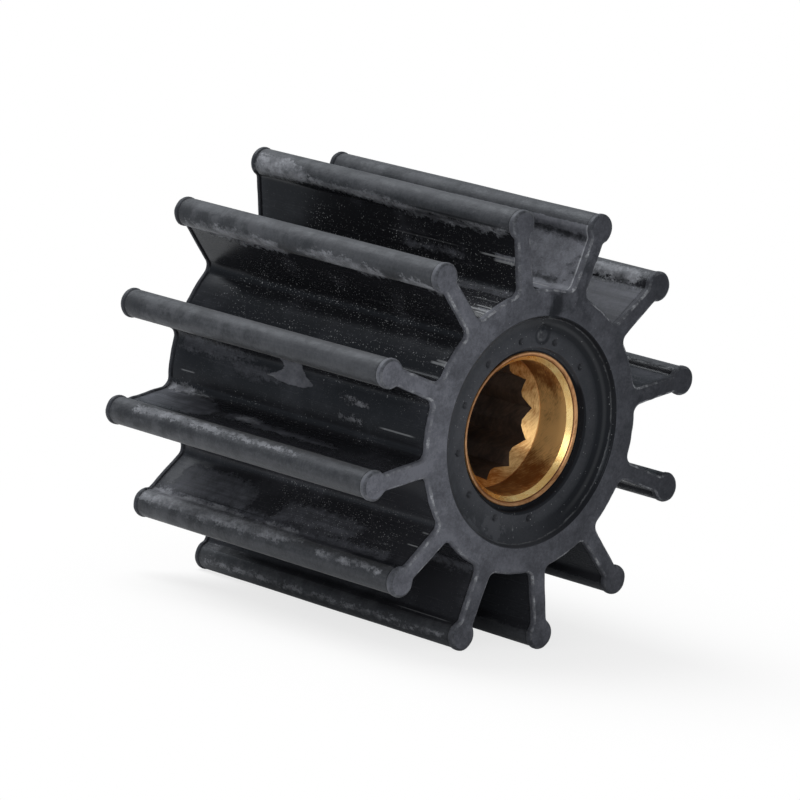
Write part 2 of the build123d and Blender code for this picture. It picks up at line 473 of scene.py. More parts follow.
def makeInsert(materials):
    # The bore's outline is the larger of two turned hexagons and the pilot circle. The
    # lead-in cone runs down to that outline, so the edge between them is scalloped.
    s, steps = insert, insert["steps"]
    pitch = 360 / s["points"]
    flat = s["pointRadius"] * math.cos(math.radians(30))
    bluntFrom = 30 - math.degrees(math.acos(flat / s["pilotRadius"]))
    side = np.linspace(0, bluntFrom, steps["side"], endpoint=False)
    crest = np.linspace(bluntFrom, pitch - bluntFrom, steps["crest"])
    offsets = np.concatenate([side, crest, pitch - side[:0:-1]])
    degrees = (s["pointAngle"] + np.arange(s["points"])[:, None] * pitch + offsets).ravel()
    angle = np.radians(np.append(degrees, degrees[0] + 360))
    local = np.tile(offsets, s["points"])
    local = np.append(local, local[0])
    star = flat / np.cos(np.radians(30 - np.minimum(local, pitch - local)))
    star = np.maximum(star, s["pilotRadius"])

    rear = wheel["halfLength"] - s["setBack"]
    front = -rear
    seat = front + s["counterboreDepth"]
    lean = math.tan(math.radians(s["leadInAngle"]))
    wide, bevel, edge = s["counterboreRadius"], s["bevelRadius"], s["rearEdge"]
    rows, kinds = [], []

    def ring(reach, y, kind):
        rows.append(around(reach, angle, y))
        kinds.append(kind)

    # The kind is the place in brassLook: 0 cut, 1 wall, 2 bore, 3 lip, 4 cone, 5 shoulder, a band of painted
    # shade.
    for reach, y in grooveRows()[::-1]:
        ring(reach, y, 1)
    for index, (inset, depth) in enumerate(s["lip"]):
        ring(s["radius"] - inset, front + depth, 3 if index < s["lipPale"] else 5)
    for share in np.linspace(0, 1, steps["bevel"]):
        depth = s["lip"][-1][1] * (1 - share) + s["bevelDepth"] * share
        ring(bevel + share * (s["bevelEnd"] - bevel), front + depth, 0 if share < 1 else 1)
    for y in np.linspace(front + s["taperDepth"], seat - s["reliefLength"], steps["wall"]):
        ring(wide, y, 1)
    for share in (0.8, 0.2):
        ring(wide + s["reliefDepth"], seat - share * s["reliefLength"], 1)
    for share in np.linspace(0, 1, steps["cone"]):
        reach = wide + share * (star - wide)
        ring(reach, seat + (wide - reach) / lean, 4 if share < 1 else 2)
    start, end = seat + (wide - star) / lean, rear - (wide - star)
    for share in np.linspace(0, 1, steps["bore"])[1:]:
        ring(star, start + share * (end - start), 2 if share < 1 else 0)
    for share in np.linspace(0, 1, steps["rear"])[1:]:
        reach = star + share * (wide - star)
        ring(reach, rear - (wide - reach), 0)
    ring(s["radius"] - edge, rear, 3)
    ring(s["radius"], rear - edge, 1)
    rows.append(rows[0])
    grid = np.stack(rows)
    travel = np.concatenate([[0], np.cumsum(np.abs(np.diff(grid, axis=0)).sum(axis=2).mean(axis=1))])
    uv = np.stack(np.broadcast_arrays(wide * angle[None, :], travel[:, None]), axis=-1)
    return meshFromPatches("shaft_insert", [(grid, uv, np.array(kinds)[:, None])], materials, s["sharpAngle"])


# Marks on the skin, in millimetres: index of the vane and corners as (distance from the
# middle of the tip, y). Positive distances lie towards the next vane. The y values belong
# to a skin that ends at markEnd, and are stretched to the length of the wheel.
markEnd = 23.8
markReach = 3.0
skinMarks = {
    # pale ragged bloom on beads and necks, and one strip of painted light on the bead of vane index 5
    "bloom": [
        (0, [(1.2, 22.6), (1, 17), (1.7, 14.5), (2.6, 13), (3.2, 13.4), (3.8, 17), (3.9, 21), (3.4, 23)]),
        (0, [(2.8, 14), (2.9, 7), (2.7, 0), (3.4, -5), (3.65, -12), (3.4, -22.8), (4.4, -21), (4.8, -14),
             (4.7, -6), (4, 0), (3.6, 7), (3.4, 13)]),
        (1, [(2.8, 22.4), (2.1, 16), (2.1, 4.6), (3.9, 4.2), (5.15, 5.2), (5.2, 14), (4.9, 22)]),
        (1, [(2.4, 0.8), (1.8, -3), (1.9, -8), (2.4, -12), (2.8, -14.3), (4.9, -13.4), (5.1, -9),
             (3.9, -5), (3.1, -1.8)]),
        (1, [(2.5, -17), (2.4, -20), (2.8, -22.9), (5.4, -22.9), (4.6, -20), (3.8, -17)]),
        (3, [(-1.2, 19), (-1.5, 14), (-1.6, 6), (-1.7, -5), (-1.9, -12), (-2.1, -12), (-2.2, -6),
             (-2.5, 4), (-2.9, 12), (-2.2, 19)]),
        # painted light from the floor below, on the lowest bead
        (5, [(-1.75, 22), (-1.75, -22), (-2.15, -22), (-2.15, 22)]),
        (4, [(-2, 23), (-1.9, 10), (-2, 0), (-2.3, -4), (-3.2, -7), (-5, -4), (-5.1, 0), (-4.6, 3),
             (-4.6, 5.5), (-5.2, 7), (-5.2, 23)]),
        (4, [(-2, -10), (-2, -22), (-2.6, -22), (-2.7, -10)]),
        (2, [(13.9, -8.2), (13.8, -10.5), (14, -12.4), (14.2, -12.4), (14.3, -10), (14.1, -8)]),
        (3, [(-13.6, -8.2), (-13.5, -10.8), (-13.8, -12), (-14, -11.6), (-13.9, -8)]),
        (3, [(-10.9, 23.2), (-11, 17.5), (-11.7, 16.6), (-12.1, 19.5), (-12, 23.2)]),
        (3, [(-7.9, 6.5), (-8, 3.2), (-8.9, 2.6), (-9.5, 5.2), (-8.9, 7.6)]),
        (10, [(2.2, 20), (2.6, 0), (2.4, -22), (4.4, -22), (4.4, 0), (3.8, 20)]),
        (8, [(-2.2, 20), (-2.6, 4), (-2.4, -12), (-4.3, -12), (-4.6, 4), (-3.8, 20)]),
        (6, [(2.4, 14), (2.8, 2), (2.6, -20), (3.8, -20), (4.5, 2), (4.2, 14)]),
    ],
    # thin grey film
    "film": [
        (4, [(-5.7, 20), (-5.8, 8), (-6.3, 6.2), (-8.8, 6.8), (-9.6, 9), (-10.1, 13), (-9.8, 20)]),
        (4, [(-6, 1), (-6.2, -12), (-8.6, -13.5), (-9.2, -4), (-8.7, 1)]),
        (4, [(-2.8, -4), (-2.7, -14), (-4.6, -15), (-5.1, -8), (-5.1, -3)]),
        (3, [(-7.8, 9), (-7.7, -4), (-8.3, -4), (-8.8, 2), (-9.6, 4.5), (-9.2, 8.5)]),
        (4, [(-4.4, 22), (-4.5, -20), (-5.7, -20), (-5.8, 22)]),
        (3, [(-7.4, 4), (-7.6, -12), (-8.4, -10), (-8.6, 3)]),
        (2, [(12.5, 22), (12.6, 14), (13.2, 14), (13.3, 22)]),
        (2, [(6, 23.6), (6, 15), (10.3, 13), (10.6, 23.6)]),
        (2, [(13.4, 11), (13.5, 6), (14.6, 6), (14.6, 11)]),
        (2, [(13.1, 12), (13.3, 5), (14.3, 3), (14.2, 12)]),
        (2, [(11.6, 22), (11.8, 14), (12.5, 8), (13.1, 14), (13, 22)]),
        (0, [(8.1, -3), (8.2, -14), (8.7, -14), (8.8, -4)]),
        (0, [(11.9, -11), (11.9, -22.6), (12.5, -22.6), (12.5, -11)]),
        (5, [(-11.1, -15), (-11.1, -23), (-11.7, -23), (-11.7, -15)]),
        (5, [(-2.6, -9.5), (-2.7, -12.2), (-3.2, -12.2), (-3.2, -9.5)]),
        (10, [(5, 9), (5, -23.4), (11.8, -23.4), (11.6, -6), (10.2, 1), (9, -3), (7.6, 5), (6.4, 1)]),
        (9, [(5, 1), (5, -23.4), (11.8, -23.4), (11.4, -9), (9.8, -3), (8.6, -8), (7, -1), (6, -4)]),
        (7, [(-6, 12), (-5.5, -8), (-9, -10), (-10, 12)]),
        (3, [(-5.4, 23), (-6, 12), (-8, 10), (-10.5, 13), (-12, 23)]),
    ],
    # pale patches with a clear edge
    "patch": [
        (2, [(11.2, 3.6), (12, 2.9), (12.6, 3.1), (13, 3.7), (13.3, 4.7), (13.6, 5.8), (13.95, 4),
             (14.25, 1.6), (14.15, -0.8), (13.8, -2.4), (13.45, -2.7), (13, -1.7), (12.5, -0.9),
             (12, -0.3), (11.2, -0.4)]),
        (0, [(7.1, -17.8), (7.05, -22.9), (8.35, -22.7), (7.9, -19.6)]),
        (11, [(3, 1), (3, -24.4), (15.4, -24.4), (15.4, -18), (13.9, -16.5), (12.9, -12), (11.6, -9.5),
             (10.4, -11), (9.2, -5), (8.1, -7.5), (7.2, -2), (6, -4.5), (4.6, 2.5)]),
        (0, [(-15.4, -18), (-15.4, -24.4), (-13.6, -24.4), (-14.2, -20)]),
        (1, [(-14, -20.2), (-14.1, -23.3), (-13.3, -23.3), (-13.5, -21.4)]),
        (2, [(-14.4, -21.2), (-14.4, -23.2), (-13.6, -23.2), (-13.7, -21.6)]),
    ],
    # black smudges, and painted shadow under the bead of vane index 2 and below the neck of vane index 11
    "dark": [
        (11, [(10.2, -15.6), (10.8, -15.4), (11.3, -20.2), (10.5, -21.2)]),
        (11, [(10.5, -16.2), (10.9, -16.2), (11.1, -19.4), (10.7, -19.6)]),
        # painted shadow below the neck
        (11, [(4.2, 4), (4.2, -14), (4.5, -23.2), (5.4, -23.2), (5, -14), (4.9, 4)]),
        # painted shadow under the bead
        (2, [(2.2, 11), (1.7, 2), (1.7, -22.6), (4, -22.6), (4, 11)]),
        (11, [(8.2, -21.2), (8.5, -21), (8.6, -22), (8.3, -22.2)]),
        (11, [(7.2, -22.6), (7.6, -22.5), (7.6, -23.1), (7.3, -23.2)]),
        (11, [(9.2, -22.5), (9.5, -22.2), (9.7, -22.9), (9.3, -23.1)]),
    ],
    # fields of pale dust
    "dusty": [
        (0, [(6.5, 14), (6, -23.5), (15, -23.5), (15, 14)]),
        (1, [(-15, 14), (-15, -23.5), (-12.5, -23.5), (-12.5, 14)]),
        (1, [(6.5, 8), (6.5, -23.5), (15, -23.5), (15, 19), (9, 16)]),
        (2, [(-15, 15), (-15, -23.5), (-13, -23.5), (-13, 15)]),
        (2, [(11, -4), (11, -23), (12.6, -23), (12.6, -4)]),
        (3, [(-11.4, 12), (-11.4, -14), (-12.8, -14), (-12.8, 12)]),
        (4, [(-12, 4), (-11, -20), (-5.5, -20), (-5.5, 2)]),
        (7, [(5, 14), (5, -20), (15, -20), (15, 14)]),
        (8, [(-5, 14), (-5, -20), (-15, -20), (-15, 14)]),
        (9, [(6, 12), (6, -22), (15, -22), (15, 12)]),
        (10, [(-6, 10), (-6, -22), (-15, -22), (-15, 10)]),
    ],
    # darker stains, and painted shade under the bead of vane index 2, on that vane's underside flank and on
    # the upper sides of the beads of vane indices 3 and 5
    "shade": [
        (0, [(2.1, 13), (2.2, 6), (2.3, -5), (2.4, -21), (2.9, -22), (2.9, -5), (2.6, 2), (2.7, 12)]),
        (1, [(1, 3.6), (0.9, -2.6), (1.9, -2.6), (2.4, 0.5), (2.2, 3.6)]),
        (1, [(2.1, 19.5), (2, 16), (3.1, 15.5), (3.3, 18.8)]),
        (1, [(2.6, 3.8), (2.9, 0.3), (3.4, -4), (4.6, -6.5), (4.9, 3.8)]),
        (2, [(0.2, 21.5), (0.4, 14), (0.1, 7.5), (1, 7), (1.3, 14), (1.2, 21)]),
        (2, [(0.7, 5), (0.6, -2), (1.1, -2), (1.2, 5)]),
        # painted shade under the bead
        (2, [(2.2, 9), (2.2, -22.5), (3.9, -22.5), (3.9, 9)]),
        # painted shade on the flank that faces down
        (2, [(5.6, 15), (5.6, -23.8), (10.4, -23.8), (10.6, 14)]),
        (3, [(-1.2, 22), (-1.1, 10), (-1.3, -22.5), (-0.4, -22.5), (-0.3, 22)]),
        # painted shade on the neck and upper side of the bead
        (3, [(-2.9, 20), (-3, -22), (-5.5, -22), (-5.5, 20)]),
        (4, [(-1.9, 22), (-1.7, 0), (-1.9, -20), (-1.5, -20), (-1.3, 0), (-1.4, 22)]),
        (4, [(-6.8, 16.6), (-8.8, 20.4), (-9.1, 17.6)]),
        (4, [(-3.1, -15), (-3, -22), (-5, -22), (-5, -15)]),
        # painted shade on the upper side of the lowest bead
        (5, [(-2.5, 20), (-2.5, -22), (-4.9, -22), (-4.9, 20)]),
    ],
}

# Thin lines along the length: vane, distance from the tip, y of both ends, half width, strength.
skinLines = {
    "pale": [
        (0, 7.35, 0.5, -14, 0.1, 0.2), (0, 14.2, -18, -23.3, 0.08, 0.4),
        (0, 7.5, -16.5, -23.2, 0.16, 0.9), (0, 8, -19, -23.4, 0.2, 1),
        (1, -13.7, -18.5, -23.4, 0.18, 0.9), (1, -14.4, -20, -23.4, 0.14, 0.8),
        (1, -13.2, -20.9, -23.3, 0.1, 0.8), (2, -13.9, -20.2, -23.4, 0.2, 1),
        (2, -14.3, -21, -23.4, 0.16, 0.8), (2, 13.72, 5.8, 4, 0.1, 0.6),
        (3, -13.7, -14.8, -21.6, 0.13, 0.9), (3, -13.88, 21.4, 18.5, 0.1, 0.8),
        (4, -8, -20.8, -23.2, 0.1, 0.9), (4, -10.2, -21.6, -23.2, 0.13, 0.7),
        (5, -4.1, -12, -22.6, 0.1, 0.55), (11, 12.1, -15, -20.5, 0.16, 1),
    ],
    "black": [(0, 3.15, -4, -23, 0.17, 1), (1, 12.05, 23, 17, 0.22, 0.8), (4, -5.5, 20, 2, 0.12, 0.7)],
}

# Marks on the front end, as corners in x and z.
endMarks = {
    "bloom": [
        [(-4.6, -11.4), (-2.2, -11.2), (-1.7, -12.6), (-2, -14), (-3.4, -13.8), (-4.7, -12.6)],
        [(-8.9, -10.9), (-6.6, -11.6), (-6.3, -13.4), (-7.8, -13.6), (-9.3, -12.2)],
        [(12.6, -13.2), (14.6, -14.8), (16.2, -17.2), (14.2, -17), (12.2, -15)],
    ],
    "film": [
        [(-22, 1.5), (-15.2, 2.5), (-15, -2.5), (-16.2, -5.5), (-19, -9), (-24, -8)],
        [(-12.5, -10.5), (-10.5, -12.5), (-8, -16.5), (-12, -18.5), (-15.5, -13.5)],
        [(-16, 9), (-13, 11.5), (-12, 16.5), (-15.5, 16), (-19, 12)],
        [(-3.5, -16), (2.5, -16.2), (2, -19), (-3, -18.8)],
    ],
    "patch": [
        [(0.2, -11.4), (0.34, -11.4), (0.4, -13.6), (0.26, -13.6)],
        [(-11.9, 0.5), (-11.1, 0.55), (-11.1, 0.72), (-11.9, 0.7)],
    ],
    # painted shade in the right half of the gate channel
    "dark": [[(0.3, 14.5), (2, 14.5), (2.1, 17.5), (0.5, 17.5)]],
    "shade": [
        # painted shade in the gate channel; the next two are stains
        [(-0.3, 13), (1.6, 13), (1.7, 18), (-0.4, 18)],
        [(4, 16), (8.5, 15), (11.5, 17), (9, 19.5), (6, 24), (4.8, 20)],
        [(16, 6.5), (21, 4), (21, 7.5), (17, 9)],
    ],
}


def insideAndNear(pairs, corners):
    # Signed distance to a closed outline: negative inside.
    corners = np.array(corners, dtype=float)
    nearest = np.full(len(pairs), 1e9)
    inside = np.zeros(len(pairs), dtype=bool)
    for start, end in zip(corners, np.roll(corners, -1, axis=0)):
        edge = end - start
        share = np.clip((pairs - start) @ edge / (edge @ edge), 0, 1)
        nearest = np.minimum(nearest, np.linalg.norm(pairs - start - share[:, None] * edge, axis=1))
        rise = edge[1] if edge[1] else 1e-9
        crosses = (start[1] > pairs[:, 1]) != (end[1] > pairs[:, 1])
        inside ^= crosses & (pairs[:, 0] < start[0] + (pairs[:, 1] - start[1]) / rise * edge[0])
    return np.where(inside, -nearest, nearest)


def addMarks(mesh):
    # Each kind of mark becomes an attribute with the signed distance to the nearest such
    # mark, at most markReach. The materials turn it into a mask and roughen its edge.
    pairs = np.empty(2 * len(mesh.loops))
    mesh.uv_layers["skin"].data.foreach_get("uv", pairs)
    pairs = pairs.reshape(-1, 2)
    loopKind = np.empty(len(mesh.polygons), dtype=np.int32)
    mesh.polygons.foreach_get("material_index", loopKind)
    counts = np.empty(len(mesh.polygons), dtype=np.int32)
    mesh.polygons.foreach_get("loop_total", counts)
    onSkin = np.repeat(np.isin(loopKind, (0, 3)), counts)
    for label, drawn in skinMarks.items():
        field = np.full(len(pairs), markReach)
        stretch = wheel["halfLength"] / markEnd
        shapes = [(onSkin, (index + 1) * pitchLength, stretch, corners) for index, corners in drawn]
        shapes += [(~onSkin, 0.0, 1.0, corners) for corners in endMarks.get(label, [])]
        for chosen, shift, longer, corners in shapes:
            moved = np.array(corners) * [1, longer] + [shift, 0]
            low, high = moved.min(axis=0) - markReach, moved.max(axis=0) + markReach
            near = np.flatnonzero(chosen & np.all((pairs > low) & (pairs < high), axis=1))
            field[near] = np.minimum(field[near], insideAndNear(pairs[near], moved))
        layer = mesh.attributes.new(label, "FLOAT", "CORNER")
        layer.data.foreach_set("value", field.astype(np.float32))


# Small tools for node trees. A value may be a number, a colour or another node's output.
class Wiring:
    def __init__(self, tree):
        self.tree = tree

    def add(self, kind, inputs=None, **settings):
        made = self.tree.nodes.new("ShaderNode" + kind)
        for key, value in settings.items():
            setattr(made, key, value)
        for key, value in (inputs or {}).items():
            self.feed(made.inputs[key], value)
        return made

    def feed(self, socket, value):
        if isinstance(value, bpy.types.NodeSocket):
            self.tree.links.new(value, socket)
        else:
            socket.default_value = value

    def calc(self, operation, first, *others):
        # Joins any number of values, one after another.
        for other in others or (0.0,):
            first = self.add("Math", {0: first, 1: other}, operation=operation).outputs[0]
        return first

    def times(self, *values):
        return self.calc("MULTIPLY", *values)

    def plus(self, *values):
        return self.calc("ADD", *values)

    def minus(self, first, second):
        return self.calc("SUBTRACT", first, second)

    def most(self, *values):
        return self.calc("MAXIMUM", *values)

    def fade(self, value, low, high, toLow=0.0, toHigh=1.0, soft=True):
        kind = "SMOOTHSTEP" if soft else "LINEAR"
        inputs = {0: value, 1: low, 2: high, 3: toLow, 4: toHigh}
        return self.add("MapRange", inputs, interpolation_type=kind).outputs[0]

    def spread(self, value, low, high):
        # What runs from 0 to 1 then runs from low to high.
        return self.fade(value, 0.0, 1.0, low, high)

    def steep(self, value, reach, low=0.0, high=1.0):
        # Noise gathers near 0.5: this spreads 0.5 - reach .. 0.5 + reach over the whole range.
        return self.fade(value, 0.5 - reach, 0.5 + reach, low, high)

    def shake(self, value, noise, amount):
        # A noise round 0.5 moves the value by up to half the amount.
        return self.plus(value, self.times(self.minus(noise, 0.5), amount))

    def blend(self, share, first, second):
        inputs = {0: share, 6: first, 7: second}
        return self.add("Mix", inputs, data_type="RGBA", clamp_factor=True).outputs[2]

    def mixed(self, share, first, second):
        inputs = {0: share, 2: first, 3: second}
        return self.add("Mix", inputs, data_type="FLOAT", clamp_factor=True).outputs[0]

    def paint(self, colour, *layers):
        # Each layer is a share and the colour that it lays over the ones before it.
        for share, over in layers:
            colour = self.blend(share, colour, over)
        return colour

    def split(self, vector):
        return self.add("SeparateXYZ", {0: vector}).outputs

    def join(self, x=0.0, y=0.0, z=0.0):
        return self.add("CombineXYZ", {0: x, 1: y, 2: z}).outputs[0]

    def stretch(self, vector, scale):
        return self.add("Mapping", {"Vector": vector, "Scale": scale}).outputs[0]

    def turned(self, vector, degrees):
        inputs = {"Vector": vector, "Angle": math.radians(degrees)}
        return self.add("VectorRotate", inputs, rotation_type="Z_AXIS").outputs[0]

    def noise(self, vector, scale, detail, rough):
        inputs = {"Vector": vector, "Scale": scale, "Detail": detail, "Roughness": rough}
        return self.add("TexNoise", inputs).outputs[0]

    def grain(self, vector, scale, detail, rough, reach):
        return self.steep(self.noise(vector, scale, detail, rough), reach)

    def group(self, tree, inputs):
        return self.add("Group", inputs, node_tree=tree).outputs


def newGroup(name, inputs, outputs):
    # Inputs are names with their defaults, None for a vector. All outputs are numbers.
    tree = bpy.data.node_groups.new(name, "ShaderNodeTree")
    for label, default in inputs.items():
        kind = "NodeSocketVector" if default is None else "NodeSocketFloat"
        socket = tree.interface.new_socket(label, in_out="INPUT", socket_type=kind)
        if default is not None:
            socket.default_value = default
    for label in outputs:
        tree.interface.new_socket(label, in_out="OUTPUT", socket_type="NodeSocketFloat")
    source = tree.nodes.new("NodeGroupInput")
    sink = tree.nodes.new("NodeGroupOutput")
    return tree, Wiring(tree), source.outputs, sink.inputs


def makeDustGroup():
    # Pale specks: a cell of a Voronoi pattern carries one if its random number is under
    # Share, and each speck has its own size and brightness.
    inputs = {"Vector": None, "Cells": 900.0, "Share": 0.3, "Size": 0.25}
    tree, net, given, result = newGroup("dustSpecks", inputs, ["Mask"])
    bent = net.add("TexNoise", {"Vector": given["Vector"], "Scale": 1400.0, "Detail": 1.0})
    shift = net.add("VectorMath", {0: bent.outputs["Color"], "Scale": 0.00014}, operation="SCALE")
    moved = net.add("VectorMath", {0: given["Vector"], 1: shift.outputs[0]}, operation="ADD")
    cells = net.add("TexVoronoi", {"Vector": moved.outputs[0], "Scale": given["Cells"]}).outputs
    chance = net.add("SeparateColor", {0: cells["Color"]}).outputs
    present = net.calc("LESS_THAN", chance[0], given["Share"])
    size = net.times(given["Size"], net.fade(chance[1], 0.0, 1.0, 0.45, 1.0, soft=False))
    core = net.fade(cells["Distance"], size, net.times(size, 0.45))
    bright = net.fade(chance[2], 0.0, 1.0, 0.3, 1.0, soft=False)
    net.feed(result["Mask"], net.times(core, present, bright))
    return tree


def makeLineGroup():
    # A thin line along the length, as distance from its place and from its middle.
    inputs = {"Along": 0.0, "Length": 0.0, "Place": 0.0, "Middle": 0.0, "Half Length": 1.0, "Half Width": 0.1,
              "Strength": 1.0}
    tree, net, given, result = newGroup("thinLine", inputs, ["Mask"])
    away = net.calc("ABSOLUTE", net.minus(given["Along"], given["Place"]))
    beyond = net.calc("ABSOLUTE", net.minus(given["Length"], given["Middle"]))
    thin = net.fade(away, given["Half Width"], net.times(given["Half Width"], 0.5))
    inside = net.fade(beyond, given["Half Length"], net.times(given["Half Length"], 0.6))
    net.feed(result["Mask"], net.times(thin, inside, given["Strength"]))
    return tree


def makeChalkGroup():
    # Dull moulded rubber: a broad mottle, a fine grain and scattered darker pits.
    inputs = {"Vector": None, "Mottle": 220.0, "Grain": 2600.0}
    tree, net, given, result = newGroup("chalkGrain", inputs, ["Shade", "Height"])
    broad = net.noise(given["Vector"], given["Mottle"], 5.0, 0.6)
    fine = net.noise(given["Vector"], given["Grain"], 3.0, 0.6)
    pits = net.add("TexVoronoi", {"Vector": given["Vector"], "Scale": net.times(given["Grain"], 0.7)})
    pit = net.fade(pits.outputs["Distance"], 0.12, 0.32)
    shade = net.plus(net.fade(broad, 0.3, 0.7, 0.82, 1.14), net.fade(fine, 0.3, 0.7, -0.1, 0.1))
    net.feed(result["Shade"], net.times(shade, net.mixed(pit, 0.93, 1.0)))
    net.feed(result["Height"], net.plus(net.times(fine, 0.7), net.times(pit, 0.3)))
    return tree


def makeStreakGroup():
    # Lines along the length that run for some millimetres, fade and start again.
    inputs = {"Along": 0.0, "Length": 0.0, "Pitch": 1.0, "Run": 12.0}
    tree, net, given, result = newGroup("lengthStreaks", inputs, ["Value"])
    across = net.calc("DIVIDE", given["Along"], given["Pitch"])
    run = net.calc("DIVIDE", given["Length"], given["Run"])
    net.feed(result["Value"], net.noise(net.join(across, run), 1.0, 4.0, 0.62))
    return tree


groups = {
    "dust": makeDustGroup(),
    "line": makeLineGroup(),
    "chalk": makeChalkGroup(),
    "streak": makeStreakGroup(),
}


def dustOn(net, vector, cells, share, size):
    return net.group(groups["dust"], {"Vector": vector, "Cells": cells, "Share": share, "Size": size})["Mask"]


def chalkOn(net, vector, mottle, grain):
    return net.group(groups["chalk"], {"Vector": vector, "Mottle": mottle, "Grain": grain})


def newMaterial(name):
    material = bpy.data.materials.new(name)
    material.use_nodes = True
    tree = material.node_tree
    net = Wiring(tree)
    return material, net, tree.nodes["Principled BSDF"], net.add("TexCoord").outputs["Object"]


def setPlain(shader, values):
    for label, value in values.items():
        shader.inputs[label].default_value = value


def dress(net, shader, colour, rough, height, strength, depth):
    # Colour, roughness and a bump, whose depth is in millimetres.
    bump = net.add("Bump", {"Height": height, "Strength": strength, "Distance": depth * mm})
    for label, value in (("Base Color", colour), ("Roughness", rough), ("Normal", bump.outputs[0])):
        net.feed(shader.inputs[label], value)


def grey(level, blue):
    return (level, level * 1.035, level * blue, 1)


rubberLook = {
    "black": grey(0.0108, 1.22),
    "film": grey(0.085, 1.2),
    "chalk": grey(0.057, 1.14),
    "chalkDark": grey(0.022, 1.14),
    "bloom": grey(0.25, 1.13),
    "patch": grey(0.15, 1.18),
    "dust": grey(0.5, 1.05),
    "face": grey(0.16, 1.2),
    "faceLevel": 0.087,
    "faceAcross": -2.2,
    "faceUp": -0.55,
    "faceLeast": 0.03,
    "faceMost": 0.136,
    "dish": grey(0.064, 1.16),
    "scratchAndHighlight": grey(0.2, 1.08),
    "edgeLine": grey(0.34, 1.1),
    "shine": 0.11,
    "sheen": 0.13,
    "sheenRough": 0.4,
    "beadShine": 0.27,
    "shineTint": (0.82, 0.9, 1.0, 1),
}


def faceShare(net, here):
    # End faces are paler on the side to -X and lower down.
    look = rubberLook
    x, _, z = net.split(here)
    level = net.plus(look["faceLevel"], net.times(x, look["faceAcross"]), net.times(z, look["faceUp"]))
    level = net.calc("MINIMUM", net.most(level, look["faceLeast"]), look["faceMost"])
    return net.calc("DIVIDE", level, look["face"][0])


def markMask(net, label, ragged, shake, soft):
    # Inside a mark the field is negative. The noise moves its edge by up to half the shake.
    field = net.add("Attribute", attribute_name=label, attribute_type="GEOMETRY").outputs["Fac"]
    return net.fade(net.shake(field, ragged, shake), soft, -soft)


